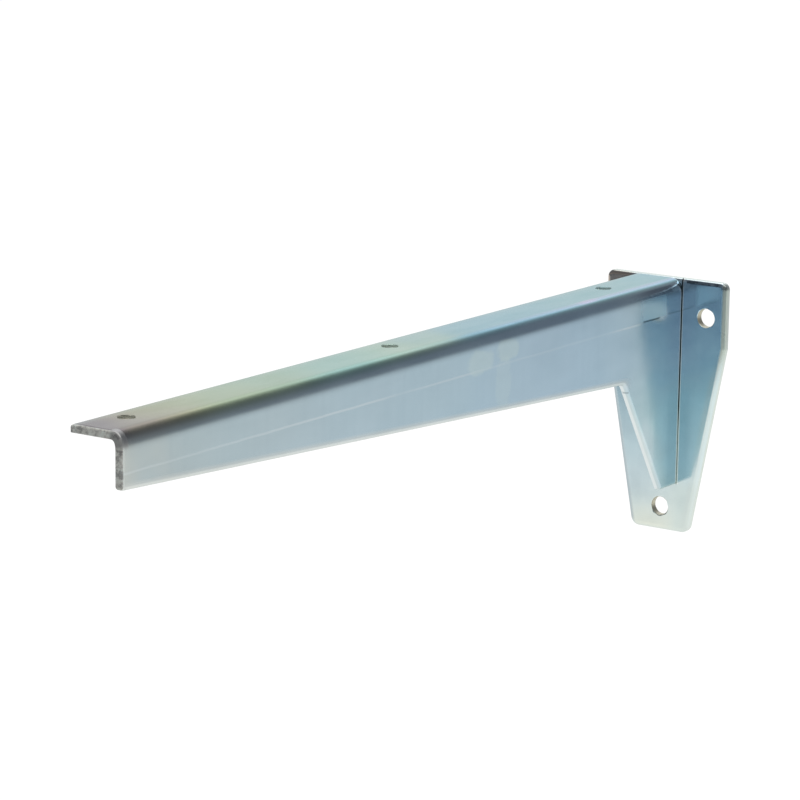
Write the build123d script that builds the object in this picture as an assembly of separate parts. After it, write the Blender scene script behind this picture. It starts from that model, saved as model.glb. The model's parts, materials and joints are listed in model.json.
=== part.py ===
from build123d import *
from math import hypot
import os

# A steel shelf bracket: a folded arm of L section, a plate that is screwed to the wall, and the
# two weld beads that join them. Sizes are in millimetres.
#
# +Z is up. The wall is the plane y = 0 and the arm points along -Y. The origin is on the wall,
# halfway between the two upper screw holes. The arm's web faces +X.

# Wall plate
plate_thickness = 4.0
plate_height = 140.0
plate_width = 74.0
plate_straight_height = 36.0  # upper part, whose sides are parallel
plate_foot_width = 35.0  # where the tapered sides would meet the bottom edge
plate_top_radius = 4.0
plate_shoulder_radius = 6.0  # where a parallel side turns into a tapered one
plate_foot_radius = 5.0

# Screw holes in the plate
wall_hole_diameter = 10.0
upper_hole_spacing = 50.0
upper_hole_drop = 20.0  # from the plate's top edge
lower_hole_rise = 13.0  # from the plate's bottom edge

# Folded arm
arm_thickness = 4.0
arm_reach = 480.0  # from the wall to the free end
bend_inner_radius = 3.0
flange_width = 28.5  # from the free edge to the web's outer face
web_side = 10.0  # from the plate's centre line to the web's outer face
web_end_depth = 26.0
web_end_radius = 2.0
throat_reach = 61.5  # from the wall to the corner between the arm and the leg
throat_depth = 49.0
throat_radius = 5.0
leg_foot_reach = 21.0
leg_depth = 113.5
leg_foot_radius = 2.0

# Screw holes in the flange, under the shelf
shelf_hole_diameter = 8.4
shelf_hole_inset = 10.5  # from the flange's free edge
near_hole_reach = 56.0  # from the wall
middle_hole_reach = 254.0  # from the wall
front_hole_inset = 25.0  # from the free end

# Sheared edges: the punch rolls the outer face over, and the other face keeps a small break
arm_edge_roll = 1.5
arm_seam_roll = 0.8  # along the plate
arm_edge_break = 0.4
plate_edge_roll = 1.0
plate_edge_break = 0.3
wall_hole_roll = 0.8
shelf_hole_roll = 0.5

# Weld beads, on the side that the web hides
weld_leg = 4.0
web_weld_drop = 22.0  # from the flange's top to the bead's upper end
web_weld_rise = 9.0  # from the leg's bottom edge to the bead's lower end
flange_weld_inset = 4.5  # from the flange's free edge
flange_weld_length = 14.0

# Places that follow from the sizes
top = upper_hole_drop
plate_bottom = top - plate_height
plate_front = -plate_thickness
lower_hole_z = plate_bottom + lower_hole_rise
bend_outer_radius = bend_inner_radius + arm_thickness
bend_axis_x = web_side - bend_outer_radius
bend_axis_z = top - bend_outer_radius
flange_edge = web_side - flange_width
flange_underside = top - arm_thickness
web_inside = web_side - arm_thickness
leg_bottom = top - leg_depth
shelf_hole_x = flange_edge + shelf_hole_inset
shelf_hole_reaches = (near_hole_reach, middle_hole_reach, arm_reach - front_hole_inset)


def near(value, target):
    """True where two lengths are the same to a tenth of a micrometre."""
    return abs(value - target) < 1e-4


def samples(edge):
    """Five points along an edge, its ends among them."""
    return [edge @ (step / 4) for step in range(5)]


def rounded(outline, corner, radius):
    """The outline with its sharp corner at that point rounded."""
    x, y = corner
    return fillet([v for v in outline.vertices() if near(v.X, x) and near(v.Y, y)], radius)


def at_plane_y(shape, y):
    """The edges of a shape that lie in the plane at that y."""
    return [e for e in shape.edges() if all(near(p.Y, y) for p in samples(e))]


def wall_plate_outline():
    """The plate's outline, x across and y up."""
    half_top = plate_width / 2
    half_foot = plate_foot_width / 2
    shoulder = top - plate_straight_height
    corners = [
        ((-half_top, top), plate_top_radius),
        ((half_top, top), plate_top_radius),
        ((half_top, shoulder), plate_shoulder_radius),
        ((half_foot, plate_bottom), plate_foot_radius),
        ((-half_foot, plate_bottom), plate_foot_radius),
        ((-half_top, shoulder), plate_shoulder_radius),
    ]
    outline = make_face(Polyline(*[point for point, radius in corners], close=True))
    for point, radius in corners:
        outline = rounded(outline, point, radius)
    return outline


def wall_plate():
    """The flat plate against the wall, with its three screw holes."""
    plate = extrude(Plane.XZ * wall_plate_outline(), amount=plate_thickness)
    plate = fillet(at_plane_y(plate, plate_front), plate_edge_roll)
    plate = fillet(at_plane_y(plate, 0), plate_edge_break)
    half_spacing = upper_hole_spacing / 2
    for x, z in ((-half_spacing, 0), (half_spacing, 0), (0, lower_hole_z)):
        drill = Pos(x, plate_front / 2, z) * Rot(90, 0, 0)
        plate -= drill * Cylinder(wall_hole_diameter / 2, 2 * plate_thickness)
    hole_rims = [e for e in at_plane_y(plate, plate_front) if e.geom_type == GeomType.CIRCLE]
    hole_rims = [e for e in hole_rims if near(e.radius, wall_hole_diameter / 2)]
    return fillet(hole_rims, wall_hole_roll)


def arm_section():
    """The L section that the sheet is folded to, as deep as the leg, x across and y up."""
    outer_corner = (web_side, top)
    inner_corner = (web_inside, flange_underside)
    section = make_face(
        Polyline(
            (flange_edge, top),
            outer_corner,
            (web_side, leg_bottom),
            (web_inside, leg_bottom),
            inner_corner,
            (flange_edge, flange_underside),
            close=True,
        )
    )
    section = rounded(section, outer_corner, bend_outer_radius)
    return rounded(section, inner_corner, bend_inner_radius)


def arm_side_outline():
    """The arm seen from its side: the tapered web and the leg, x along +Y and y up."""
    end_corner = (-arm_reach, top - web_end_depth)
    throat = (-throat_reach, top - throat_depth)
    foot_corner = (-leg_foot_reach, leg_bottom)
    outline = make_face(
        Polyline(
            (plate_front, top),
            (-arm_reach, top),
            end_corner,
            throat,
            foot_corner,
            (plate_front, leg_bottom),
            close=True,
        )
    )
    outline = rounded(outline, end_corner, web_end_radius)
    outline = rounded(outline, throat, throat_radius)
    return rounded(outline, foot_corner, leg_foot_radius)


def on_skin(point, radius):
    """True for a point on the sheet's face that has that radius at the bend."""
    across = point.X - bend_axis_x
    up = point.Z - bend_axis_z
    if across >= 0 and up >= 0:
        return near(hypot(across, up), radius)
    if across < 0:
        return near(up, radius)
    return near(across, radius)


def is_bend_line(edge):
    """True for the lines where the bend's curve runs into the flat flange or web."""
    points = samples(edge)
    beside_flange = all(near(p.X, bend_axis_x) for p in points)
    beside_web = all(near(p.Z, bend_axis_z) for p in points)
    return beside_flange or beside_web


def skin_outline(shape, radius):
    """The edges round one face of the folded sheet."""
    edges = [e for e in shape.edges() if all(on_skin(p, radius) for p in samples(e))]
    return [e for e in edges if not is_bend_line(e)]


def arm():
    """The folded sheet: flange, bend, tapered web and leg in one piece."""
    start = Plane.XZ.offset(plate_thickness)
    folded = extrude(start * arm_section(), amount=arm_reach - plate_thickness)
    side = extrude(Plane.YZ * arm_side_outline(), amount=arm_reach, both=True)
    folded &= side
    seam = at_plane_y(folded, plate_front)
    outer_edges = [e for e in skin_outline(folded, bend_outer_radius) if e not in seam]
    folded = fillet(outer_edges, arm_edge_roll)
    seam = at_plane_y(folded, plate_front)
    inner_edges = [e for e in skin_outline(folded, bend_inner_radius) if e not in seam]
    folded = fillet(inner_edges, arm_edge_break)
    seam = at_plane_y(folded, plate_front)
    outer_seam = [e for e in skin_outline(folded, bend_outer_radius) if e in seam]
    folded = fillet(outer_seam, arm_seam_roll)
    for reach in shelf_hole_reaches:
        drill = Pos(shelf_hole_x, -reach, top - arm_thickness / 2)
        folded -= drill * Cylinder(shelf_hole_diameter / 2, 2 * arm_thickness)
    circles = [e for e in folded.edges() if e.geom_type == GeomType.CIRCLE]
    hole_rims = [e for e in circles if all(near(p.Z, top) for p in samples(e))]
    return fillet(hole_rims, shelf_hole_roll)


def weld_bead(length):
    """A bead along +X in the corner between the planes y = 0 and z = 0, below and in front of them."""
    half_run = length / 2 - weld_leg
    run = Rot(0, 90, 0) * Cylinder(weld_leg, 2 * half_run)
    bead = run + Pos(-half_run, 0, 0) * Sphere(weld_leg) + Pos(half_run, 0, 0) * Sphere(weld_leg)
    corner = Box(length, weld_leg, weld_leg, align=(Align.CENTER, Align.MAX, Align.MAX))
    return bead & corner


def flange_weld():
    """The bead between the flange's underside and the plate."""
    middle = flange_edge + flange_weld_inset + flange_weld_length / 2
    return Pos(middle, plate_front, flange_underside) * weld_bead(flange_weld_length)


def web_weld():
    """The bead between the web's hidden face and the plate."""
    upper_end = top - web_weld_drop
    lower_end = leg_bottom + web_weld_rise
    middle = (upper_end + lower_end) / 2
    upright = Rot(0, 90, 0) * weld_bead(upper_end - lower_end)
    return Pos(web_inside, plate_front, middle) * upright


nodes = {
    "wall_plate": wall_plate(),
    "arm": arm(),
    "flange_weld": flange_weld(),
    "web_weld": web_weld(),
}
os.makedirs("parts", exist_ok=True)
for name, shape in nodes.items():
    export_step(shape, f"parts/{name}.step")
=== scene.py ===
import json
from collections import namedtuple
from math import atan2, ceil, cos, pi, radians, sin, tan

import bmesh
import bpy
from mathutils import Matrix, Quaternion, Vector, noise
from mathutils.geometry import delaunay_2d_cdt


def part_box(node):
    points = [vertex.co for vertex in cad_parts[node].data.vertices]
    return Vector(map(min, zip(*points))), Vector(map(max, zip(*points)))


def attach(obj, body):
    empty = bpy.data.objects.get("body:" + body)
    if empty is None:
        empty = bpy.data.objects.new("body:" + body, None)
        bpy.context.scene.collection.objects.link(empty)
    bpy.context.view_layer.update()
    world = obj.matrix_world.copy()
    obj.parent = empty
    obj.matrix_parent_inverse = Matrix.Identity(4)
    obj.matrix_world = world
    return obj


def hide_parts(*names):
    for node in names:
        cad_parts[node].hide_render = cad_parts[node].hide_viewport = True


# A zinc plated shelf bracket: a folded arm, the plate that is screwed to the wall, and two weld
# beads. Lengths in the sheets' own code are millimetres, and every finished mesh is in metres.

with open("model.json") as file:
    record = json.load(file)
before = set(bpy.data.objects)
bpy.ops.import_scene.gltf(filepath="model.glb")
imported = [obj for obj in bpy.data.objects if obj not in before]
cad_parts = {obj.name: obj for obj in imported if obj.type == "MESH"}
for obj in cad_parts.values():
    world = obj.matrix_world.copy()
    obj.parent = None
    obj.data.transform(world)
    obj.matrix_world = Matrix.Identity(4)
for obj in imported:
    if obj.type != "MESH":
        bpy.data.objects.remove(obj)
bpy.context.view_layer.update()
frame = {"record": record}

MM = 0.001

# Sizes that the frame gives
arm_low, arm_high = [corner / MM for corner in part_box("arm")]
plate_low, plate_high = [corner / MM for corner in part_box("wall_plate")]
mounts = {mount["name"]: mount for mount in frame["record"]["mounts"]}
top = arm_high.z
seam = arm_high.y
free_end = arm_low.y
web_side = arm_high.x
flange_edge = arm_low.x
leg_bottom = arm_low.z
thickness = -plate_low.y

flange_weld_low, flange_weld_high = [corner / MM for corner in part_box("flange_weld")]
web_weld_low, web_weld_high = [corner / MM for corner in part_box("web_weld")]
flange_weld_length = flange_weld_high.x - flange_weld_low.x
flange_weld_middle = (flange_weld_high.x + flange_weld_low.x) / 2
web_weld_length = web_weld_high.z - web_weld_low.z
web_weld_middle = (web_weld_high.z + web_weld_low.z) / 2
weld_leg = web_weld_high.x - web_weld_low.x

# Sizes of the sheets that only their drawings give
web_end_depth = 26.0
web_end_radius = 2.0
throat_reach = 61.5
throat_depth = 49.0
throat_radius = 5.0
leg_foot_reach = 21.0
leg_foot_radius = 2.0
plate_straight_height = 36.0
plate_foot_width = 35.0
plate_top_radius = 4.0
plate_shoulder_radius = 6.0
plate_foot_radius = 5.0

# The bend: its radius in the middle, and the lengths over which it eases into each face
bend_tight_radius = 6.1
easing_at_flange = 2.6
easing_at_web = 7.6

# Sheared edges: how wide and how deep the outer face rolls over, and the inner face's small break
arm_edge_roll = (1.9, 1.5)
arm_seam_roll = (0.8, 0.8)
arm_edge_break = 0.4
plate_edge_roll = (2.6, 1.2)
plate_edge_break = 0.3
wall_hole_roll = (0.8, 0.8)
shelf_hole_roll = (0.5, 0.5)
hole_edge_break = 0.1
seam_break = 0.05

# The beads' ripples: how far apart and how deep they are, how far each one's middle lags, and how
# their unevenness runs along and round the bead
ripple_pitch = 1.9
ripple_depth = 0.09
ripple_lag = 0.9
ripple_unevenness = 0.8
uneven_along = 0.35
uneven_round = 0.2

# How finely the meshes are divided
roll_steps = 7
hole_roll_steps = 4
break_steps = 2
wall_steps = 4
bend_steps = 26
bend_trace_steps = 130
flange_steps = 3
steps_per_ripple = 12
round_steps = 14
outline_step = 4.0
face_step = 9.0
rim_clearance = 4.0  # from a rim to the nearest point inside a face
hole_clearance = 2.5
point_gap = 0.2  # the least from one point of an outline to the next
least_run = 1.0  # a side that runs less than this across gets no stops
end_share = 0.002  # and no side gets one this close to its ends
hole_segments = 64
arc_turn = radians(7.5)
sharp_turn = radians(35)
parallel_cross = 0.001  # edges whose directions have a smaller cross product count as parallel
flat_join = 0.00001
bead_join = 0.00001  # in metres


# Flat outlines

def corner_arc(before, corner, after, radius):
    """The points of the arc that rounds a corner, from the edge before it to the edge after it."""
    inward = (before - corner).normalized()
    outward = (after - corner).normalized()
    opening = inward.angle(outward)
    reach = radius / tan(opening / 2)
    centre = corner + (inward + outward).normalized() * (radius / sin(opening / 2))
    start = corner + inward * reach - centre
    end = corner + outward * reach - centre
    turn = start.angle_signed(end)
    steps = max(2, ceil(abs(turn) / arc_turn))
    return [centre + turned(start, -turn * step / steps) for step in range(steps + 1)]


def turned(vector, angle):
    """A flat vector turned anticlockwise."""
    across = vector.x * cos(angle) - vector.y * sin(angle)
    along = vector.x * sin(angle) + vector.y * cos(angle)
    return Vector((across, along))


def divided(start, end, stops):
    """Points from start up to, but not with, end: evenly spaced, and at each stop across."""
    span = end - start
    steps = max(1, ceil(span.length / outline_step))
    shares = {step / steps for step in range(steps)}
    for stop in stops:
        if abs(span.x) > least_run:
            share = (stop - start.x) / span.x
            if end_share < share < 1 - end_share:
                shares = {s for s in shares if s == 0 or abs(s - share) * span.length > point_gap}
                shares.add(share)
    return [start + span * share for share in sorted(shares)]


def outline(corners, stops=()):
    """The outline round corners of (place, rounding, roll, break), the last two for the edge after it.
    It gives a list of (place, roll, break), one for each short edge."""
    points = []
    count = len(corners)
    arcs = []
    for index, corner in enumerate(corners):
        place = Vector(corner[0])
        rounding = corner[1]
        before = Vector(corners[index - 1][0])
        after = Vector(corners[(index + 1) % count][0])
        arcs.append(corner_arc(before, place, after, rounding) if rounding else [place])
    for index, arc in enumerate(arcs):
        roll, edge_break = corners[index][2:]
        after = arcs[(index + 1) % count][0]
        for place in arc[:-1]:
            points.append((place, roll, edge_break))
        for place in divided(arc[-1], after, stops):
            points.append((place, roll, edge_break))
    return points


def hole_outline(centre, radius, roll):
    """A round hole's rim, clockwise, so that the sheet is on its left too."""
    points = []
    for step in range(hole_segments):
        turn = -2 * pi * step / hole_segments
        place = centre + Vector((cos(turn), sin(turn))) * radius
        points.append((place, roll, hole_edge_break))
    return points


def edge_normals(places):
    """The outward direction of each short edge between the places of a rim."""
    normals = []
    for index, place in enumerate(places):
        along = (places[(index + 1) % len(places)] - place).normalized()
        normals.append(Vector((along.y, -along.x)))
    return normals


def inset_place(place, before, after, inset_before, inset_after):
    """Where two edges meet once each has moved inwards by its own inset."""
    cross = before.x * after.y - before.y * after.x
    if abs(cross) < parallel_cross:
        middle = (before + after).normalized()
        return place - middle * (inset_before + inset_after) / 2
    across = (-inset_before * after.y + inset_after * before.y) / cross
    along = (-inset_after * before.x + inset_before * after.x) / cross
    return place + Vector((across, along))


# Sheets

class Folded:
    """Lays a flat blank (across, along) onto the arm: flange, bend and web. The bend tightens and
    slackens gently, as a pressed bend does."""

    def __init__(self):
        self.bend_length = bend_tight_radius * pi / 2 + (easing_at_flange + easing_at_web) / 2
        step_length = self.bend_length / bend_trace_steps
        place = Vector((0, 0, 0))
        self.trace = [place.copy()]
        for step in range(bend_trace_steps):
            angle = self.angle((step + 0.5) * step_length)
            place += Vector((cos(angle), 0, -sin(angle))) * step_length
            self.trace.append(place.copy())
        self.bend_x = web_side - place.x
        self.bend_z = top + place.z
        self.bend_start = self.bend_x - flange_edge
        self.bend_end = self.bend_start + self.bend_length

    def angle(self, along):
        """How far the sheet has turned, a length into the bend."""
        rest = self.bend_length - along
        if along < easing_at_flange:
            return along ** 2 / (2 * easing_at_flange * bend_tight_radius)
        if rest < easing_at_web:
            return pi / 2 - rest ** 2 / (2 * easing_at_web * bend_tight_radius)
        return (along - easing_at_flange / 2) / bend_tight_radius

    def across_at_height(self, height):
        """The blank's measure across, for a height on the web."""
        return self.bend_end + self.bend_z - height

    def directions(self, across):
        """The place on the outer face, the face's outward direction and the direction across."""
        along = min(max(across - self.bend_start, 0), self.bend_length)
        angle = self.angle(along)
        outward = Vector((sin(angle), 0, cos(angle)))
        onward = Vector((cos(angle), 0, -sin(angle)))
        traced = along / self.bend_length * bend_trace_steps
        step = min(int(traced), bend_trace_steps - 1)
        place = self.trace[step].lerp(self.trace[step + 1], traced - step)
        place += Vector((self.bend_x, 0, top))
        if across < self.bend_start:
            place += onward * (across - self.bend_start)
        if across > self.bend_end:
            place += onward * (across - self.bend_end)
        return place, outward, onward

    def place(self, flat, depth):
        """The folded place of a point of the blank, at a depth below the outer face."""
        place, outward = self.directions(flat.x)[:2]
        return place + Vector((0, flat.y, 0)) - outward * depth

    def normal(self, flat, sideways, out):
        """A direction with a flat part and a part out of the outer face, folded with the sheet."""
        outward, onward = self.directions(flat.x)[1:]
        return onward * sideways.x + Vector((0, sideways.y, 0)) + outward * out


class Upright:
    """Stands a flat blank (across, up) against the wall, with its outer face to the front."""

    def place(self, flat, depth):
        """The upright place of a point of the blank, at a depth below the front."""
        return Vector((flat.x, depth - thickness, flat.y))

    def normal(self, flat, sideways, out):
        """A direction with a flat part and a part out of the front, stood up with the sheet."""
        return Vector((sideways.x, -out, sideways.y))


def profile(roll, edge_break, steps):
    """The rim's section from the outer face to the inner one: (inset, depth, edge, lean).
    The edge runs from 0 on the faces to 1 on the cut wall, and the lean is the normal's angle."""
    width, drop = roll
    rings = []
    for step in range(steps + 1):
        turn = pi / 2 * step / steps
        lean = atan2(drop * sin(turn), width * cos(turn))
        rings.append((width * (1 - sin(turn)), drop * (1 - cos(turn)), step / steps, lean))
    wall_end = thickness - edge_break
    for step in range(1, wall_steps):
        depth = drop + (wall_end - drop) * step / wall_steps
        rings.append((0, depth, 1, pi / 2))
    for step in range(break_steps + 1):
        lean = pi / 2 * (1 + step / break_steps)
        inset = edge_break * (1 - sin(lean))
        depth = wall_end - edge_break * cos(lean)
        rings.append((inset, depth, 1 - step / break_steps, lean))
    return rings


class SheetMesh:
    """Gathers the vertices, faces, normals and edge marks of one sheet."""

    def __init__(self, shape):
        self.shape = shape
        self.places = []
        self.marks = []
        self.faces = []
        self.normals = []

    def vertex(self, flat, depth, edge):
        """A new vertex for a flat point at a depth, with its edge mark."""
        self.places.append(self.shape.place(flat, depth) * MM)
        self.marks.append((edge, depth / thickness))
        return len(self.places) - 1

    def face(self, corners, normals):
        """One face, wound so that it points along its normals."""
        first, second, third = [self.places[corner] for corner in corners[:3]]
        if (second - first).cross(third - first).dot(normals[0] + normals[1]) < 0:
            corners = corners[::-1]
            normals = normals[::-1]
        self.faces.append(corners)
        self.normals.append([normal.normalized() for normal in normals])

    def rim(self, points, steps):
        """The rolled edge, the cut wall and the inner break along a rim.
        It gives the flat places and the vertices of its two faces' borders."""
        count = len(points)
        outward = edge_normals([point[0] for point in points])
        rings = []
        for index, (place, roll, edge_break) in enumerate(points):
            previous = points[index - 1]
            column = []
            earlier = profile(previous[1], previous[2], steps)
            for before, after in zip(earlier, profile(roll, edge_break, steps)):
                flat = inset_place(place, outward[index - 1], outward[index], before[0], after[0])
                depth = (before[1] + after[1]) / 2
                column.append((self.vertex(flat, depth, after[2]), flat))
            rings.append(column)
        for index in range(count):
            leans = [ring[3] for ring in profile(points[index][1], points[index][2], steps)]
            following = (index + 1) % count
            here = self.rim_direction(outward, index, index)
            there = self.rim_direction(outward, index, following)
            for step, (lean, deeper) in enumerate(zip(leans, leans[1:])):
                corners = [
                    rings[index][step],
                    rings[index][step + 1],
                    rings[following][step + 1],
                    rings[following][step],
                ]
                ways = [(here, lean), (here, deeper), (there, deeper), (there, lean)]
                normals = []
                for (vertex, flat), (sideways, angle) in zip(corners, ways):
                    normals.append(self.shape.normal(flat, sideways * sin(angle), cos(angle)))
                self.face([vertex for vertex, flat in corners], normals)
        outer = [column[0] for column in rings]
        inner = [column[-1] for column in rings]
        return outer, inner

    def rim_direction(self, outward, edge, point):
        """The outward direction of an edge at one of its points, shared with a smooth neighbour."""
        before = outward[point - 1]
        after = outward[point]
        if before.angle(after) < sharp_turn:
            return (before + after).normalized()
        return outward[edge]

    def skin(self, borders, inner_points, holes, depth):
        """A face of the sheet between its borders, divided into triangles."""
        flats = [flat for border in borders for vertex, flat in border]
        known = [vertex for border in borders for vertex, flat in border]
        edges = []
        for border in borders:
            first = len(edges)
            size = len(border)
            edges += [(first + step, first + (step + 1) % size) for step in range(size)]
        for flat in inner_points:
            flats.append(flat)
            known.append(self.vertex(flat, depth, 0))
        made = delaunay_2d_cdt(flats, edges, [], 1, flat_join)
        sources = [ids[0] for ids in made[3]]
        sign = 1 if depth == 0 else -1
        for triangle in made[2]:
            corners = [sources[corner] for corner in triangle]
            middle = sum((flats[corner] for corner in corners), Vector((0, 0))) / 3
            if any((middle - centre).length < radius for centre, radius in holes):
                continue
            normals = [self.shape.normal(flats[corner], Vector((0, 0)), sign) for corner in corners]
            self.face([known[corner] for corner in corners], normals)

    def finished(self, name):
        """The mesh object, with its edge marks and its own normals."""
        mesh = bpy.data.meshes.new(name)
        mesh.from_pydata(self.places, [], self.faces)
        mesh.update()
        for name_of_mark, place in (("edge", 0), ("depth", 1)):
            mark = mesh.attributes.new(name_of_mark, "FLOAT", "POINT")
            mark.data.foreach_set("value", [marks[place] for marks in self.marks])
        for polygon in mesh.polygons:
            polygon.use_smooth = True
        mesh.normals_split_custom_set([tuple(n) for group in self.normals for n in group])
        return linked(name, mesh)


def clear_of(flat, places, gap):
    """True for a flat point that is at least a gap away from every place of a rim."""
    return all((flat - place).length > gap for place in places)


def inside(flat, places):
    """True for a flat point inside the rim that runs through those places."""
    result = False
    for index, place in enumerate(places):
        other = places[index - 1]
        if (place.y > flat.y) != (other.y > flat.y):
            crossing = place.x + (flat.y - place.y) * (other.x - place.x) / (other.y - place.y)
            if flat.x < crossing:
                result = not result
    return result


def made_sheet(name, shape, rim, holes, hole_roll, columns):
    """A closed sheet with its holes, as one mesh."""
    sheet = SheetMesh(shape)
    outer, inner = sheet.rim(rim, roll_steps)
    outer_borders = [outer]
    inner_borders = [inner]
    for centre, radius in holes:
        outer, inner = sheet.rim(hole_outline(centre, radius, hole_roll), hole_roll_steps)
        outer_borders.append(outer)
        inner_borders.append(inner)
    rim_places = [point[0] for point in rim]
    low = min(place.y for place in rim_places)
    high = max(place.y for place in rim_places)
    rows = ceil((high - low) / face_step)
    grid = []
    for row in range(1, rows):
        along = low + (high - low) * row / rows
        for across in columns:
            flat = Vector((across, along))
            if not inside(flat, rim_places) or not clear_of(flat, rim_places, rim_clearance):
                continue
            if all(clear_of(flat, [centre], radius + hole_clearance) for centre, radius in holes):
                grid.append(flat)
    sheet.skin(outer_borders, grid, holes, 0)
    sheet.skin(inner_borders, grid, holes, thickness)
    return sheet.finished(name)


def hole_of(mount, axis):
    """A round hole of the record, in millimetres: its x, its place along another axis, its radius."""
    place = Vector(mount["pos_m"]) / MM
    return place.x, place[axis], mount["dims"]["r_mm"]


def linked(name, data):
    """A new object in the scene, at the origin."""
    made = bpy.data.objects.new(name, data)
    bpy.context.scene.collection.objects.link(made)
    return made


# The pieces

def arm_piece():
    """The folded sheet: flange, bend, tapered web and leg."""
    fold = Folded()
    rolled = (arm_edge_roll, arm_edge_break)
    corners = [
        ((0, seam), 0, *rolled),
        ((0, free_end), 0, *rolled),
        ((fold.across_at_height(top - web_end_depth), free_end), web_end_radius, *rolled),
        ((fold.across_at_height(top - throat_depth), -throat_reach), throat_radius, *rolled),
        ((fold.across_at_height(leg_bottom), -leg_foot_reach), leg_foot_radius, *rolled),
        ((fold.across_at_height(leg_bottom), seam), 0, arm_seam_roll, seam_break),
    ]
    bend_lines = [
        fold.bend_start + (fold.bend_end - fold.bend_start) * step / bend_steps
        for step in range(bend_steps + 1)
    ]
    rim = outline(corners, bend_lines)
    holes = []
    for name in ("shelf_hole_near_wall", "shelf_hole_middle", "shelf_hole_front"):
        x, y, radius = hole_of(mounts[name], 1)
        holes.append((Vector((x - flange_edge, y)), radius))
    flange_columns = [fold.bend_start * step / flange_steps for step in range(1, flange_steps)]
    depth_of_web = corners[4][0][0] - fold.bend_end
    web_steps = ceil(depth_of_web / face_step)
    web_columns = [fold.bend_end + depth_of_web * step / web_steps for step in range(1, web_steps)]
    columns = flange_columns + bend_lines + web_columns
    return made_sheet("arm_sheet", fold, rim, holes, shelf_hole_roll, columns)


def plate_piece():
    """The flat plate against the wall, with three screw holes."""
    half_top = plate_high.x
    half_foot = plate_foot_width / 2
    shoulder = plate_high.z - plate_straight_height
    foot = plate_low.z
    rolled = (plate_edge_roll, plate_edge_break)
    corners = [
        ((-half_top, plate_high.z), plate_top_radius, *rolled),
        ((-half_top, shoulder), plate_shoulder_radius, *rolled),
        ((-half_foot, foot), plate_foot_radius, *rolled),
        ((half_foot, foot), plate_foot_radius, *rolled),
        ((half_top, shoulder), plate_shoulder_radius, *rolled),
        ((half_top, plate_high.z), plate_top_radius, *rolled),
    ]
    pattern = mounts["upper_wall_holes"]["dims"]
    half_spacing = pattern["spacing_x_mm"] / 2
    holes = [(Vector((side * half_spacing, 0)), pattern["hole_r_mm"]) for side in (-1, 1)]
    x, z, radius = hole_of(mounts["lower_wall_hole"], 2)
    holes.append((Vector((x, z)), radius))
    steps = ceil(2 * half_top / face_step)
    columns = [-half_top + 2 * half_top * step / steps for step in range(1, steps)]
    rim = outline(corners)
    return made_sheet("wall_plate_sheet", Upright(), rim, holes, wall_hole_roll, columns)


def bead_surface(length):
    """The places of a bead's overlapping ripples, row by row along +X."""
    places = []
    for step in range(bead_steps(length) + 1):
        along = length * (step / bead_steps(length) - 0.5)
        from_end = min(length / 2 - abs(along), weld_leg) / weld_leg
        swell = max(1 - (1 - from_end) ** 2, 0) ** 0.5
        for turn in range(round_steps + 1):
            angle = pi / 2 * turn / round_steps
            bulge = sin(2 * angle)
            phase = ((along + ripple_lag * bulge) / ripple_pitch) % 1
            sample = noise.noise(Vector((along * uneven_along, turn * uneven_round, length)))
            dip = ripple_depth * (phase ** 2 + ripple_unevenness * abs(sample)) * bulge ** 0.5
            radius = weld_leg * swell * (1 - dip)
            places.append(Vector((along, -radius * cos(angle), -radius * sin(angle))))
    return places


def bead_steps(length):
    """The number of rows that a bead of that length is divided into."""
    return steps_per_ripple * ceil(length / ripple_pitch)


def bead_faces(rows, root):
    """The bead's surface, and the two flat sides that close it along its root."""
    row = round_steps + 1
    faces = []
    for step in range(rows):
        here = step * row
        there = here + row
        for turn in range(round_steps):
            faces.append((here + turn, here + turn + 1, there + turn + 1, there + turn))
        faces.append((root + step, here, there, root + step + 1))
        faces.append((root + step + 1, there + round_steps, here + round_steps, root + step))
    return faces


def weld_piece(name, length, corner):
    """A fillet bead with overlapping ripples, along a corner that faces down and to the front."""
    places = bead_surface(length)
    rows = bead_steps(length)
    faces = bead_faces(rows, len(places))
    places += [Vector((length * (step / rows - 0.5), 0, 0)) for step in range(rows + 1)]
    mesh = bpy.data.meshes.new(name)
    mesh.from_pydata([corner @ place * MM for place in places], [], faces)
    shape = bmesh.new()
    shape.from_mesh(mesh)
    bmesh.ops.remove_doubles(shape, verts=shape.verts, dist=bead_join)
    bmesh.ops.recalc_face_normals(shape, faces=shape.faces)
    shape.to_mesh(mesh)
    shape.free()
    mesh.shade_smooth()
    mesh.set_sharp_from_angle(angle=sharp_turn)
    return linked(name, mesh)


# Materials

def plugged(tree, socket, value):
    """Puts a number, a colour or another node's output into a socket."""
    if isinstance(value, bpy.types.NodeSocket):
        tree.links.new(value, socket)
    else:
        socket.default_value = value


def calc(tree, operation, *values):
    """A Math node's result."""
    made = tree.nodes.new("ShaderNodeMath")
    made.operation = operation
    for socket, value in zip(made.inputs, values):
        plugged(tree, socket, value)
    return made.outputs[0]


def chained(tree, operation, *values):
    """Several values taken together, one after the other, by the same operation."""
    result = values[0]
    for value in values[1:]:
        result = calc(tree, operation, result, value)
    return result


def overlap(tree, *values):
    """The product of several masks: 1 only where they all are."""
    return chained(tree, "MULTIPLY", *values)


def highest(tree, *values):
    """The largest of several values."""
    return chained(tree, "MAXIMUM", *values)


def total(tree, *values):
    """The sum of several values."""
    return chained(tree, "ADD", *values)


def blended(tree, share, first, second, mode="MIX"):
    """A Mix node's colour."""
    made = tree.nodes.new("ShaderNodeMix")
    made.data_type = "RGBA"
    made.blend_type = mode
    made.clamp_factor = True
    plugged(tree, made.inputs["Factor"], share)
    plugged(tree, made.inputs["A"], first)
    plugged(tree, made.inputs["B"], second)
    return made.outputs["Result"]


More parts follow.
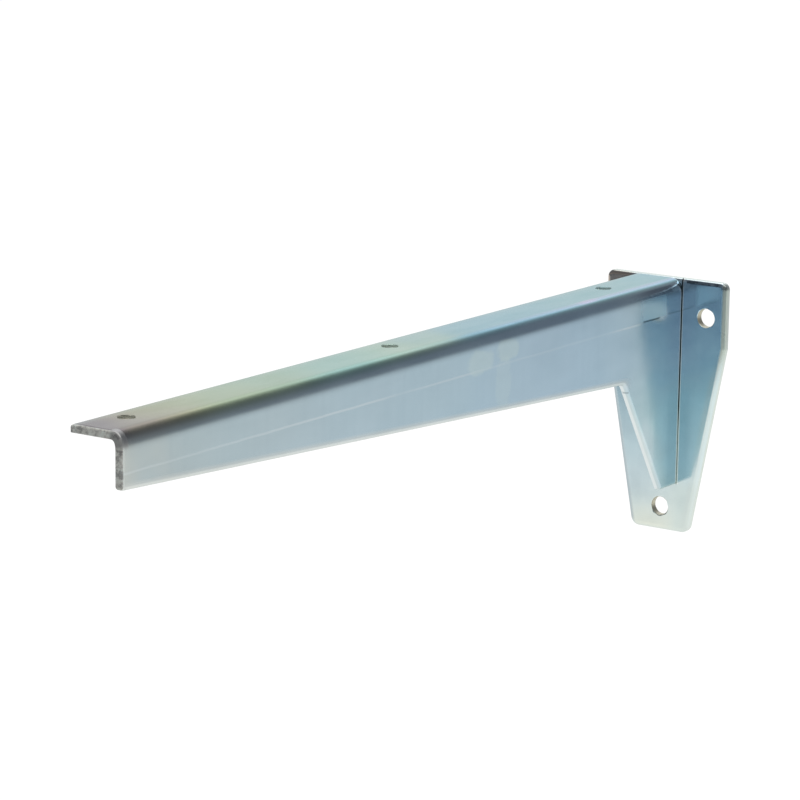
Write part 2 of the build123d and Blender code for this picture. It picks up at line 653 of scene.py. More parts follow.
def moved_range(tree, value, low, high, to_low, to_high, kind):
    """A Map Range node's result."""
    made = tree.nodes.new("ShaderNodeMapRange")
    made.interpolation_type = kind
    ends = {"From Min": low, "From Max": high, "To Min": to_low, "To Max": to_high}
    for name, number in ends.items():
        made.inputs[name].default_value = number
    plugged(tree, made.inputs["Value"], value)
    return made.outputs["Result"]


def eased(tree, value, low, high, to_low=0.0, to_high=1.0):
    """A value eased from one range to another. The first range may run downwards."""
    return moved_range(tree, value, low, high, to_low, to_high, "SMOOTHSTEP")


def gradient(tree, value, stops, kind="LINEAR"):
    """Colours along a value, with stops of (value, colour) in the value's own measure."""
    low = stops[0][0]
    high = stops[-1][0]
    share = moved_range(tree, value, low, high, 0, 1, "LINEAR")
    made = tree.nodes.new("ShaderNodeValToRGB")
    ramp = made.color_ramp
    ramp.interpolation = kind
    while len(ramp.elements) < len(stops):
        ramp.elements.new(1)
    for element, (place, colour) in zip(ramp.elements, stops):
        element.position = (place - low) / (high - low)
        element.color = (*colour, 1)
    tree.links.new(share, made.inputs["Fac"])
    return made.outputs["Color"]


def strength(tree, value, stops):
    """Like gradient, for a plain number."""
    return gradient(tree, value, [(place, (number, number, number)) for place, number in stops])


def grain(tree, coordinates, scale, detail=3.0, roughness=0.5, seed=0.0, stretch=(1, 1, 1)):
    """A Noise Texture's value over coordinates stretched along each axis. A seed moves it."""
    mapping = tree.nodes.new("ShaderNodeMapping")
    mapping.inputs["Scale"].default_value = stretch
    mapping.inputs["Location"].default_value = [seed * part for part in seed_direction]
    tree.links.new(coordinates, mapping.inputs["Vector"])
    made = tree.nodes.new("ShaderNodeTexNoise")
    made.inputs["Scale"].default_value = scale
    made.inputs["Detail"].default_value = detail
    made.inputs["Roughness"].default_value = roughness
    tree.links.new(mapping.outputs["Vector"], made.inputs["Vector"])
    return made.outputs["Fac"]


def wavering(tree, coordinates, reach, **pattern):
    """A grain that wavers between -reach and reach."""
    return eased(tree, grain(tree, coordinates, **pattern), *grain_range, -reach, reach)


def attribute(tree, name):
    """The value of a mesh attribute."""
    made = tree.nodes.new("ShaderNodeAttribute")
    made.attribute_name = name
    return made.outputs["Fac"]


def axes_of(tree, coordinates):
    """The three parts of a place or a direction."""
    made = tree.nodes.new("ShaderNodeSeparateXYZ")
    tree.links.new(coordinates, made.inputs["Vector"])
    return made.outputs


def bumped(tree, height, depth, under=None):
    """The normal of a relief as deep as that, in metres, over another relief's normal."""
    made = tree.nodes.new("ShaderNodeBump")
    made.inputs["Distance"].default_value = depth
    tree.links.new(height, made.inputs["Height"])
    if under is not None:
        tree.links.new(under, made.inputs["Normal"])
    return made.outputs["Normal"]


def new_material(name):
    """A material with only a Principled shader, its tree and its Object coordinates."""
    material = bpy.data.materials.new(name)
    material.use_nodes = True
    tree = material.node_tree
    shader = tree.nodes["Principled BSDF"]
    coordinates = tree.nodes.new("ShaderNodeTexCoord").outputs["Object"]
    return material, tree, shader, coordinates


def shown(red, green, blue):
    """A colour as a screen shows it, from 0 to 255, in the renderer's own measure."""
    return tuple((part / 255) ** 2.2 for part in (red, green, blue))


def solid(red, green, blue):
    """The same with its opacity, for a socket."""
    return (*shown(red, green, blue), 1)


def tint(red, green, blue, share=1.0):
    """A colour to lay over another one, and the share of it at most."""
    return solid(red, green, blue), share


def laid(tree, colour, over, *masks):
    """The colour with a tint over it where all the masks are 1."""
    tinge, share = over
    return blended(tree, overlap(tree, *masks, share), colour, tinge)


def band(tree, value, centre, half_width, softness):
    """1 within a band round a value, with soft sides."""
    away = calc(tree, "ABSOLUTE", calc(tree, "SUBTRACT", value, centre))
    return eased(tree, away, half_width + softness, half_width)


def stretch_of(tree, value, start, end, softness):
    """1 between two values, with soft ends."""
    return band(tree, value, (start + end) / 2, (end - start) / 2, softness)


def smudge(tree, first, second, centre, reach, ragged=0.0):
    """1 in a soft oblong round a place, over two coordinates, with a ragged border."""
    squareness = 3
    clear, full = 1.5, 0.4
    away = ragged
    for value, middle, half in zip((first, second), centre, reach):
        share = calc(tree, "DIVIDE", calc(tree, "SUBTRACT", value, middle), half)
        share = calc(tree, "POWER", calc(tree, "ABSOLUTE", share), squareness)
        away = calc(tree, "ADD", share, away)
    return eased(tree, away, clear, full)


# A place of a sheet's material: Object coordinates, x, y and z in millimetres, and its edge mark
Spot = namedtuple("Spot", "coordinates x y z edge")

# How every grain moves with its seed, and the range that its values mostly keep to
seed_direction = (1, 0.37, -0.61)
grain_range = (0.2, 0.8)

# The plating's relief, in metres: its peel, the torn steel and the weld metal's pits
peel_depth = 0.00001
tear_depth = 0.00012
pit_depth = 0.00008

# The clouds and upright runs in the plating: what they multiply its colour by, and their share
cloud_shade = (0.9, 0.93, 0.94, 1)
cloud_share = 0.35
run_shade = (0.86, 0.88, 0.9, 1)
run_share = 0.14

# The cut wall starts over these edge marks and shares of the sheet's depth
wall_edges = (0.9, 1.0)
wall_depths = (0.3, 0.5)

# How much rougher than a face the worn and cut places are
torn_roughness = 0.45
pale_roughness = 0.3
patch_roughness = 0.12
shelf_hole_roughness = 0.4
wall_hole_roughness = 0.2
strip_roughness = 0.14

# How torn the shelf holes' walls and all the plate's cut walls are, where 1 is as torn as the
# arm's free end
shelf_hole_tear = 0.15
plate_wall_tear = 0.2

# The arm's plating from the free end to the wall, by y
flange_tints = [
    (-480, shown(112, 104, 112)),
    (-456, shown(155, 148, 125)),
    (-415, shown(160, 172, 136)),
    (-355, shown(154, 178, 150)),
    (-300, shown(132, 180, 174)),
    (-262, shown(155, 188, 169)),
    (-240, shown(162, 187, 168)),
    (-205, shown(122, 171, 184)),
    (-140, shown(120, 171, 185)),
    (-60, shown(136, 180, 180)),
    (-4, shown(122, 176, 190)),
]
web_tints = [
    (-480, shown(202, 206, 200)),
    (-455, shown(182, 198, 202)),
    (-400, shown(187, 204, 209)),
    (-320, shown(189, 209, 218)),
    (-210, shown(186, 211, 223)),
    (-150, shown(184, 208, 224)),
    (-80, shown(180, 208, 225)),
    (-45, shown(198, 220, 230)),
    (-22, shown(192, 214, 226)),
    (-4, shown(182, 200, 216)),
]

# How far the colours drift along the arm and up the plate
arm_drift = 22
plate_drift = 7

# The height at which the web's colour starts to turn into the flange's, by y
turn_height = [(-480, top - 7), (-330, top - 6), (-150, top - 3.4), (-4, top - 2.6)]

# The plate's plating from its foot to its top, by z
plate_tints = [
    (-120, shown(238, 241, 227)),
    (-110, shown(226, 236, 232)),
    (-85, shown(226, 242, 246)),
    (-50, shown(216, 242, 246)),
    (-15, shown(202, 230, 241)),
    (20, shown(219, 240, 252)),
]

# Painted shade in the crevice between the arm and the plate: dark, and paler where it nears the leg's
# foot
crevice_shade_tints = [
    (leg_bottom, shown(194, 206, 200)),
    (-60, shown(174, 188, 184)),
    (-50, shown(96, 112, 108)),
    (-25, shown(84, 100, 97)),
    (top, shown(66, 78, 78)),
]
# How strong the painted highlight along the arm's rim beside the plate is, by z
seam_highlight_strength = [(leg_bottom, 0.8), (-60, 0.7), (-48, 0.4), (top, 0.4)]

# Torn steel and weld metal, by their grain
torn_tints = [
    (0.30, shown(204, 196, 190)),
    (0.50, shown(246, 238, 230)),
    (0.70, shown(255, 252, 246)),
]
bead_tints = [
    (0.30, shown(150, 156, 160)),
    (0.50, shown(206, 212, 214)),
    (0.72, shown(222, 222, 206)),
]

# Tints laid over parts of the sheets, each with its share at most
far_strip_tint = tint(176, 190, 186, 0.35)
leg_tint = tint(196, 226, 226, 0.5)
# Painted shade on the leg beside the wall, and a painted highlight lower on the leg
leg_shade_tint = tint(140, 177, 190, 0.6)
leg_highlight_tint = tint(228, 242, 244, 0.45)
left_half_tint = tint(206, 221, 226, 0.6)
right_foot_tint = tint(221, 233, 229, 0.8)
left_edge_tint = tint(178, 190, 196, 0.7)
olive_tint = tint(196, 206, 190, 0.9)
stain_tint = tint(198, 184, 170)
line_tint = tint(226, 236, 238)
patch_tint = tint(186, 222, 236, 0.7)
sheen_tint = tint(206, 176, 210, 0.6)
# Painted shade and a painted glint on the bend
bend_shade_tint = tint(112, 126, 144, 0.65)
glint_tint = tint(178, 190, 212)
rubbed_end_tint = tint(166, 166, 164, 0.75)
throat_nick_tint = tint(126, 146, 154, 0.5)
torn_speck_tint = tint(72, 70, 74, 0.38)
# A painted highlight along the arm's rim beside the plate
seam_highlight_tint = tint(252, 254, 248)
# A painted reflection on the plate beside the web's outer face
corner_reflection_tint = tint(255, 255, 250, 0.7)
top_speck_tint = tint(84, 98, 110)
corner_speck_tint = tint(96, 98, 104, 0.7)
nick_tint = tint(76, 98, 112)
smudge_tint = tint(204, 224, 224)

# Colours of the rims, pale from wear and from painted highlight, of the sheets' cut walls and of the
# walls in their holes
arm_pale = solid(238, 241, 236)
arm_wall = solid(238, 245, 246)
shelf_hole_wall = solid(254, 250, 238)
plate_pale = solid(222, 230, 225)
plate_wall = solid(228, 238, 232)
wall_hole_wall = solid(206, 204, 184)

# How white the web's lower edge, the bend's rubbed end and the plate's rims are at most; on the rolled
# edges the white is partly painted highlight
lower_edge_whiteness = 0.8
rubbed_end_whiteness = 0.35
plate_rim_whiteness = 0.8

# How white the arm's other rims are, by y, and the painted highlight down the plate's right side: how
# broad and how white it is, by z
arm_rim_whiteness = [(free_end, 0.5), (free_end + 3, 0.6), (free_end + 9, 0.4), (seam, 0.4)]
side_highlight_breadth = [(-120, 5.8), (-36, 5.8), (-12, 2.6), (20, 2.4)]
side_highlight_whiteness = [(-120, 0.5), (-80, 0.5), (-60, 0.75), (-36, 0.75), (-12, 0.2), (20, 0.2)]

# How plainly the press brake's line shows along the web, by y, its height and how far it wanders
line_strength = [
    (-480, 0.25), (-440, 0.15), (-330, 0.4), (-290, 0.35), (-270, 0.1), (-245, 0.25),
    (-215, 0.3), (-195, 0.15), (-80, 0.08), (-62, 0.4), (-47, 0.45), (-44, 0.0),
]
line_height = 1.5
line_wander = 0.22

# Dark nicks along the web: height, half width, start and end by y, and share
web_nicks = (
    (2.2, 0.3, -43, -28, 0.9),
    (2.6, 0.2, -17, -4, 0.35),
    (14.4, 1.4, -24, -8, 0.25),
)

# Pale smudges on the web: centre and reach by y and z, and share; and how ragged they all are
web_smudges = (
    ((-201, 5.5), (11, 6), 0.5),
    ((-176.5, 8.5), (9.5, 5.5), 0.5),
    ((-180, -8), (7, 13), 0.25),
)
smudge_raggedness = 0.6

# The sheen and the painted glint lie on the bend at this x, and the glint grows towards the wall
glint_x = 4.6
glint_strength = [(-230, 0.0), (-160, 0.3), (-80, 0.6), (seam, 0.6)]

# Where other marks and painted light lie: the bend's painted shade, the nick under the throat, the
# painted reflection on the plate beside the web, the specks under the plate's top edge and the ones at
# its corner
bend_shade_height = 15.9
throat_nick_height = -33.8
corner_reflection_x = web_side + 0.65
top_speck_height = plate_high.z - 1.5
corner_speck_centre = (35.2, 18)
corner_speck_reach = (1.7, 2.2)


def zinc(name, face_colour, rim_finish, marks, finest, dullest):
    """Zinc plate with a blue passivate. face_colour makes the colour of the faces, rim_finish
    says how the rims look, and marks paints what pressing and handling left, and painted
    highlights and shades. The faces' roughness goes from finest to dullest."""
    material, tree, shader, coordinates = new_material(name)
    x, y, z = [calc(tree, "DIVIDE", part, MM) for part in axes_of(tree, coordinates)]
    at = Spot(coordinates, x, y, z, attribute(tree, "edge"))
    depth = attribute(tree, "depth")

    colour = clouded(tree, coordinates, face_colour(tree, at))
    rim = rim_finish(tree, at)
    colour = blended(tree, rim["whiteness"], colour, rim["pale"])
    wall = overlap(tree, eased(tree, at.edge, *wall_edges), eased(tree, depth, *wall_depths))
    wall = highest(tree, wall, rim["cut_over_roll"])
    colour = blended(tree, wall, colour, rim["wall_colour"])
    torn = overlap(tree, wall, rim["torn"])
    tear = grain(tree, coordinates, scale=420, detail=5, roughness=0.65, seed=1.3)
    colour = blended(tree, torn, colour, gradient(tree, tear, torn_tints), "MULTIPLY")
    tree.links.new(marks(tree, at, colour), shader.inputs["Base Color"])
    shader.inputs["Metallic"].default_value = 1.0

    handled = grain(tree, coordinates, scale=90, seed=5.2, stretch=(1, 0.3, 1))
    roughness = eased(tree, handled, 0.3, 0.75, finest, dullest)
    torn_dullness = calc(tree, "MULTIPLY", torn, torn_roughness)
    roughness = total(tree, roughness, torn_dullness, rim["dullness"])
    tree.links.new(roughness, shader.inputs["Roughness"])
    peel = grain(tree, coordinates, scale=300, seed=2.2, stretch=(1, 0.5, 1))
    relief = bumped(tree, peel, peel_depth)
    relief = bumped(tree, calc(tree, "MULTIPLY", tear, torn), tear_depth, relief)
    tree.links.new(relief, shader.inputs["Normal"])
    return material


def clouded(tree, coordinates, colour):
    """Soft clouds and faint upright runs in the plating."""
    cloud = grain(tree, coordinates, scale=38, detail=4, roughness=0.55, seed=3.1)
    cloud = eased(tree, cloud, 0.35, 0.7, 0.0, cloud_share)
    colour = blended(tree, cloud, colour, cloud_shade, "MULTIPLY")
    runs = grain(tree, coordinates, scale=260, detail=2, roughness=0.6, seed=7.7, stretch=(1, 1, 0.04))
    runs = eased(tree, runs, 0.4, 0.75, 0.0, run_share)
    return blended(tree, runs, colour, run_shade, "MULTIPLY")


def web_face(tree, at):
    """1 on the web's outer face."""
    return eased(tree, at.x, web_side - 0.6, web_side - 0.2)


def plate_face(tree, at):
    """1 on the plate's front."""
    return eased(tree, at.y, -2.6, -3.2)


def end_of_bend(tree, at):
    """1 on the bend within a few millimetres of the free end, which is rubbed dull."""
    beside_end = eased(tree, at.y, free_end + 5.0, free_end + 3.6)
    return overlap(tree, beside_end, eased(tree, at.x, 2, 4.5), eased(tree, at.z, top - 8.5, top - 6))


def rubbed_patch(tree, at):
    """1 on a squarish patch of the web, near the wall, where the shine is rubbed off."""
    along = overlap(tree, eased(tree, at.y, -50, -40), eased(tree, at.y, -19, -21.5))
    up = stretch_of(tree, at.z, 3.0, 13.2, softness=1.2)
    return overlap(tree, web_face(tree, at), along, up)


def from_plate_side(tree, at, side):
    """How far a place of the plate is from its right side (1) or its left one (-1)."""
    shoulder = plate_high.z - plate_straight_height
    narrowing = (plate_high.x - plate_foot_width / 2) / (shoulder - plate_low.z)
    drop = highest(tree, calc(tree, "SUBTRACT", shoulder, at.z), 0)
    half_width = calc(tree, "SUBTRACT", plate_high.x, calc(tree, "MULTIPLY", drop, narrowing))
    return calc(tree, "SUBTRACT", half_width, calc(tree, "MULTIPLY", at.x, side))


def arm_colour(tree, at):
    """The arm's passivate: lilac and khaki at the free end, then green, mint and blue to the wall.
    The web is paler than the flange; the leg has painted shade beside the wall and a painted highlight
    low down."""
    drift = wavering(tree, at.coordinates, arm_drift, scale=14, detail=2, seed=9.4)
    along = calc(tree, "ADD", at.y, drift)
    flange = gradient(tree, along, flange_tints, "B_SPLINE")
    far_strip = eased(tree, at.x, flange_edge + 7, flange_edge)
    flange = laid(tree, flange, far_strip_tint, far_strip)
    web = gradient(tree, along, web_tints, "B_SPLINE")
    on_leg = eased(tree, at.z, -18, -50)
    web = laid(tree, web, leg_tint, on_leg)
    # Painted shade on the leg beside the wall, and a painted highlight low on the leg
    by_wall = overlap(tree, eased(tree, at.y, -22, -10), eased(tree, at.z, -26, -60))
    web = laid(tree, web, leg_shade_tint, by_wall)
    leg_highlight = overlap(tree, eased(tree, at.z, -46, -60), stretch_of(tree, at.y, -40, -32, softness=5))
    web = laid(tree, web, leg_highlight_tint, leg_highlight)
    lowest = strength(tree, at.y, turn_height)
    rise = calc(tree, "SUBTRACT", at.z, lowest)
    full_rise = calc(tree, "SUBTRACT", top - 0.2, lowest)
    return blended(tree, eased(tree, calc(tree, "DIVIDE", rise, full_rise), 0, 1), web, flange)


def plate_colour(tree, at):
    """The plate's passivate: blue, with a trace of green and yellow at its foot, greyer down the
    left side, with an olive strip up the right side and a stain at the corner behind the flange."""
    drift = wavering(tree, at.coordinates, plate_drift, scale=18, detail=2, seed=4.6)
    colour = gradient(tree, calc(tree, "ADD", at.z, drift), plate_tints, "B_SPLINE")
    left_half = overlap(tree, eased(tree, at.x, 5, -12), eased(tree, at.z, -112, -96))
    colour = laid(tree, colour, left_half_tint, left_half)
    right_foot = overlap(tree, eased(tree, at.x, 0, 12), eased(tree, at.z, -88, -98))
    colour = laid(tree, colour, right_foot_tint, right_foot)
    from_left = from_plate_side(tree, at, -1)
    left_edge = overlap(tree, eased(tree, from_left, 3.0, 1.2), eased(tree, at.z, -20, -30))
    colour = laid(tree, colour, left_edge_tint, left_edge)
    from_right = from_plate_side(tree, at, 1)
    olive_strip = overlap(tree, eased(tree, from_right, 2.7, 1.9), eased(tree, at.z, -36, -16))
    colour = laid(tree, colour, olive_tint, olive_strip)
    stain = overlap(tree, eased(tree, at.x, -18, -24), eased(tree, at.z, -6, 8), plate_face(tree, at))
    return laid(tree, colour, stain_tint, stain)


def arm_rim_finish(tree, at):
    """The arm's rims: pale from wear and painted highlight, whitest along the web's lower edge, torn at
    the free end, pale and rough in the holes. The bend's end and a patch of the web are rubbed dull."""
    # The rolled rims' white, here and along the web's lower edge, is wear and painted highlight
    rim = overlap(tree, eased(tree, at.edge, 0.02, 0.8), strength(tree, at.y, arm_rim_whiteness))
    rise = (throat_depth - web_end_depth) / (-throat_reach - free_end)
    edge_at_wall = top - web_end_depth + free_end * rise
    lower_edge = calc(tree, "SUBTRACT", edge_at_wall, calc(tree, "MULTIPLY", at.y, rise))
    above = calc(tree, "SUBTRACT", at.z, lower_edge)
    along_edge = overlap(tree, eased(tree, above, 4.2, 0.6), eased(tree, at.y, -54, -66))
    along_edge = calc(tree, "MULTIPLY", along_edge, lower_edge_whiteness)
    rubbed_end = calc(tree, "MULTIPLY", end_of_bend(tree, at), rubbed_end_whiteness)
    whiteness = highest(tree, rim, along_edge, rubbed_end)
    off_edge = stretch_of(tree, at.x, flange_edge + 4.5, 0, softness=1)
    in_hole = overlap(tree, off_edge, eased(tree, at.y, free_end + 3, free_end + 6))
    pale_dullness = calc(tree, "MULTIPLY", whiteness, pale_roughness)
    patch_dullness = calc(tree, "MULTIPLY", rubbed_patch(tree, at), patch_roughness)
    hole_dullness = overlap(tree, in_hole, eased(tree, at.edge, 0.3, 0.8), shelf_hole_roughness)
    at_end = eased(tree, at.y, free_end + 5, free_end + 2)
    return {
        "whiteness": whiteness,
        "pale": arm_pale,
        "dullness": total(tree, pale_dullness, patch_dullness, hole_dullness),
        "wall_colour": blended(tree, in_hole, arm_wall, shelf_hole_wall),
        "torn": highest(tree, at_end, calc(tree, "MULTIPLY", in_hole, shelf_hole_tear)),
        "cut_over_roll": eased(tree, at.y, free_end + 1.1, free_end + 0.6),
    }


def plate_rim_finish(tree, at):
    """The plate's rims: a broad painted highlight down the right side, narrow at the top, white top and
    foot edges, and olive walls in the holes."""
    from_right = from_plate_side(tree, at, 1)
    # A painted highlight down the right side, broad low down
    breadth = strength(tree, at.z, side_highlight_breadth)
    side_highlight = eased(tree, calc(tree, "DIVIDE", from_right, breadth), 1.2, 0.6)
    side_highlight = overlap(tree, side_highlight, strength(tree, at.z, side_highlight_whiteness))
    at_top = eased(tree, at.z, plate_high.z - 3, plate_high.z - 2)
    at_top = overlap(tree, at_top, eased(tree, at.edge, 0.3, 0.9))
    at_foot = eased(tree, at.z, plate_low.z + 4.5, plate_low.z + 3.5)
    at_foot = overlap(tree, at_foot, eased(tree, at.edge, 0.02, 0.8))
    whiteness = highest(tree, side_highlight, at_top, at_foot)
    from_nearest = calc(tree, "MINIMUM", from_right, from_plate_side(tree, at, -1))
    below_top = eased(tree, at.z, plate_high.z - 2, plate_high.z - 3)
    above_foot = eased(tree, at.z, plate_low.z + 3.5, plate_low.z + 4.5)
    in_hole = overlap(tree, below_top, above_foot, eased(tree, from_nearest, 3, 4))
    hole_dullness = overlap(tree, in_hole, eased(tree, at.edge, 0.2, 0.5), wall_hole_roughness)
    dull_strip = overlap(tree, eased(tree, from_right, 3.2, 2.4), eased(tree, at.z, -40, -18))
    strip_dullness = calc(tree, "MULTIPLY", dull_strip, strip_roughness)
    return {
        "whiteness": calc(tree, "MULTIPLY", whiteness, plate_rim_whiteness),
        "pale": plate_pale,
        "dullness": total(tree, strip_dullness, hole_dullness),
        "wall_colour": blended(tree, in_hole, plate_wall, wall_hole_wall),
        "torn": plate_wall_tear,
        "cut_over_roll": overlap(tree, in_hole, eased(tree, at.edge, 0.3, 0.6)),
    }


def web_marks(tree, at, colour):
    """The press brake's line along the web, small dark nicks, pale smudges and a rubbed patch."""
    on_web = web_face(tree, at)
    wander = wavering(
        tree, at.coordinates, line_wander, scale=40, roughness=0.6, seed=8.8, stretch=(0, 1, 0)
    )
    height = calc(tree, "ADD", at.z, wander)
    line = band(tree, height, line_height, half_width=0.25, softness=0.6)
    plainness = strength(tree, at.y, line_strength)
    colour = laid(tree, colour, line_tint, line, on_web, plainness)
    for nick_height, half_width, start, end, share in web_nicks:
        nick = band(tree, height, nick_height, half_width, softness=0.4)
        along = stretch_of(tree, at.y, start, end, softness=2)
        colour = laid(tree, colour, nick_tint, nick, on_web, along, share)
    ragged = wavering(tree, at.coordinates, smudge_raggedness, scale=120, roughness=0.6, seed=6.6)
    for centre, reach, share in web_smudges:
        worn = smudge(tree, at.y, at.z, centre, reach, ragged)
        colour = laid(tree, colour, smudge_tint, worn, on_web, share)
    return laid(tree, colour, patch_tint, rubbed_patch(tree, at))


def bend_marks_and_painted_light(tree, at, colour):
    """A pink sheen, painted shade near the wall and a painted cool glint on the bend, and its rubbed end.
    """
    sheen = band(tree, at.x, glint_x, half_width=0.6, softness=1.8)
    on_top = eased(tree, at.z, top - 2.5, top - 1.5)
    along = stretch_of(tree, at.y, -95, -90, softness=10)
    colour = laid(tree, colour, sheen_tint, sheen, on_top, along)
    # Painted shade over the bend near the wall
    shade = band(tree, at.z, bend_shade_height, half_width=1.5, softness=0.8)
    by_wall = overlap(tree, eased(tree, at.y, -60, -30), eased(tree, at.y, -11, -15))
    outside = eased(tree, at.x, web_side - 5, web_side - 4)
    colour = laid(tree, colour, bend_shade_tint, shade, by_wall, outside)
    # A painted glint along the bend's crown
    glint = band(tree, at.x, glint_x, half_width=0.8, softness=1.4)
    at_crown = eased(tree, at.z, top - 2, top - 1)
    shine = strength(tree, at.y, glint_strength)
    colour = laid(tree, colour, glint_tint, glint, at_crown, shine)
    return laid(tree, colour, rubbed_end_tint, end_of_bend(tree, at))


def arm_edge_marks_and_painted_light(tree, at, colour):
    """A nick under the throat, specks on the torn end, and at the seam a painted highlight along the
    arm's rim and painted shade in the crevice where the arm meets the plate."""
    nick = band(tree, at.z, throat_nick_height, half_width=0.3, softness=0.5)
    along = stretch_of(tree, at.y, -65, -57.5, softness=0.8)
    outside = eased(tree, at.x, web_side - 3.6, web_side - 2.8)
    colour = laid(tree, colour, throat_nick_tint, nick, along, outside)
    speck = grain(tree, at.coordinates, scale=240, detail=4, roughness=0.7, seed=2.9)
    at_end = eased(tree, at.y, free_end + 3.5, free_end + 1.2)
    at_end = overlap(tree, at_end, eased(tree, at.edge, 0.1, 0.5))
    colour = laid(tree, colour, torn_speck_tint, at_end, eased(tree, speck, 0.5, 0.6))
    # A painted highlight along the arm's rim beside the plate
    beside_seam = stretch_of(tree, at.y, seam - 1.1, seam - 0.8, softness=0.2)
    brightness = strength(tree, at.z, seam_highlight_strength)
    colour = laid(tree, colour, seam_highlight_tint, beside_seam, brightness)
    # Painted shade in the crevice where the arm meets the plate
    crevice_shade = eased(tree, at.y, seam - 0.75, seam - 0.35)
    return blended(tree, crevice_shade, colour, gradient(tree, at.z, crevice_shade_tints))


def arm_marks_and_painted_light(tree, at, colour):
    """What pressing, cutting and handling left on the arm, and its painted highlights and shades."""
    for painted in (web_marks, bend_marks_and_painted_light, arm_edge_marks_and_painted_light):
        colour = painted(tree, at, colour)
    return colour


def plate_marks_and_painted_light(tree, at, colour):
    """Painted shade in the corner along the web's outer face with a painted reflection beside it, and
    small dark specks under the top edge and at the corner."""
    above_leg_foot = eased(tree, at.z, leg_bottom - 0.3, leg_bottom + 0.3)
    beside_web = overlap(tree, above_leg_foot, plate_face(tree, at))
    # A painted reflection of the web's rounded edge on the plate beside it
    corner_reflection = band(tree, at.x, corner_reflection_x, half_width=0.2, softness=0.25)
    colour = laid(tree, colour, corner_reflection_tint, corner_reflection, beside_web)
    # Painted shade in the corner between the plate and the web
    crevice_shade = overlap(tree, band(tree, at.x, web_side, half_width=0.3, softness=0.15), beside_web)
    colour = blended(tree, crevice_shade, colour, gradient(tree, at.z, crevice_shade_tints))
    front = eased(tree, at.y, -2.2, -2.8)
    speck = grain(tree, at.coordinates, scale=300, detail=4, roughness=0.7, seed=5.9)
    speck = eased(tree, speck, 0.4, 0.58)
    dark_share = moved_range(tree, speck, 0, 1, 0.55, 0.95, "LINEAR")
    under_top = band(tree, at.z, top_speck_height, half_width=0.5, softness=0.5)
    right_of_arm = stretch_of(tree, at.x, 13, 33.5, softness=1)
    colour = laid(tree, colour, top_speck_tint, under_top, right_of_arm, front, dark_share)
    at_corner = smudge(tree, at.x, at.z, corner_speck_centre, corner_speck_reach)
    return laid(tree, colour, corner_speck_tint, at_corner, front, speck)


def weld_finish():
    """The beads under the same zinc, clouded and duller than the sheets, with fine pits."""
    material, tree, shader, coordinates = new_material("plated_weld_bead")
    cloud = grain(tree, coordinates, scale=160, detail=4, roughness=0.6, seed=6.3)
    tree.links.new(gradient(tree, cloud, bead_tints), shader.inputs["Base Color"])
    shader.inputs["Metallic"].default_value = 1.0
    tree.links.new(eased(tree, cloud, 0.3, 0.7, 0.5, 0.34), shader.inputs["Roughness"])
    pits = grain(tree, coordinates, scale=900)
    tree.links.new(bumped(tree, pits, pit_depth), shader.inputs["Normal"])
    return material


# The studio

def camera():
    """The camera at the photograph's place, with its long lens."""
    place = Vector((0.9278, -1.61094, 0.3491))
    aim = Vector((-0.00657, -0.24651, -0.00769))
    roll = radians(0.802)
    lens = bpy.data.cameras.new("photo_camera")
    lens.lens = 157.09
    lens.sensor_width = 36
    made = linked("photo_camera", lens)
    turn = (aim - place).to_track_quat("-Z", "Y") @ Quaternion((0, 0, 1), roll)
    made.matrix_world = Matrix.Translation(place) @ turn.to_matrix().to_4x4()
    bpy.context.scene.camera = made


def glow(tree, colour, power=1.0):
    """An Emission shader."""
    made = tree.nodes.new("ShaderNodeEmission")
    plugged(tree, made.inputs["Color"], colour)
    made.inputs["Strength"].default_value = power
    return made.outputs["Emission"]


def switched(tree, share, first, second):
    """A Mix Shader."""
    made = tree.nodes.new("ShaderNodeMixShader")
    plugged(tree, made.inputs["Fac"], share)
    tree.links.new(first, made.inputs[1])
    tree.links.new(second, made.inputs[2])
    return made.outputs["Shader"]


def floor():
    """A pale floor well below the bracket. The metal mirrors it as a white table whose front edge
    is a little over a metre from the wall and which dims towards the back, with a pale runner
    that goes on to the front. Its left part is a little dimmer. To the camera it is nearly white."""
    height = -0.30
    reach = 12.0
    camera_share = 0.9
    camera_white = 1.1
    mesh = bpy.data.meshes.new("floor")
    corners = [(x * reach, y * reach, height) for x, y in ((-1, -1), (1, -1), (1, 1), (-1, 1))]
    mesh.from_pydata(corners, [], [(0, 1, 2, 3)])
    made = linked("floor", mesh)
    material, tree, shader, coordinates = new_material("pale_floor")
    shader.inputs["Base Color"].default_value = (0.85, 0.85, 0.85, 1)
    shader.inputs["Roughness"].default_value = 0.9
    sideways, inwards = axes_of(tree, coordinates)[:2]
    table = gradient(tree, inwards, [
        (-1.70, (0.16, 0.19, 0.23)),
        (-1.28, (0.22, 0.27, 0.34)),
        (-1.18, (0.32, 0.39, 0.48)),
        (-1.04, (0.58, 0.68, 0.74)),
        (-0.88, (0.80, 0.88, 0.90)),
        (-0.72, (0.97, 0.98, 0.98)),
        (0.20, (0.98, 0.98, 0.98)),
        (0.80, (0.78, 0.79, 0.80)),
        (1.30, (0.68, 0.69, 0.70)),
        (2.40, (0.48, 0.49, 0.50)),
        (5.00, (0.30, 0.31, 0.32)),
    ])
    left_dimming = eased(tree, sideways, 0.2, -0.1, 0.0, 0.1)
    table = blended(tree, left_dimming, table, (0, 0, 0, 1))
    runner = stretch_of(tree, sideways, -0.30, 0.38, softness=0.12)
    runner = overlap(tree, runner, eased(tree, inwards, -1.42, -1.20))
    table = blended(tree, runner, table, (0.92, 0.93, 0.92, 1), "LIGHTEN")
    path = tree.nodes.new("ShaderNodeLightPath")
    to_camera = calc(tree, "MULTIPLY", path.outputs["Is Camera Ray"], camera_share)
    white = glow(tree, (1, 1, 1, 1), camera_white)
    surface = switched(tree, to_camera, shader.outputs["BSDF"], white)
    surface = switched(tree, path.outputs["Is Glossy Ray"], surface, glow(tree, table))
    tree.links.new(surface, tree.nodes["Material Output"].inputs["Surface"])
    mesh.materials.append(material)


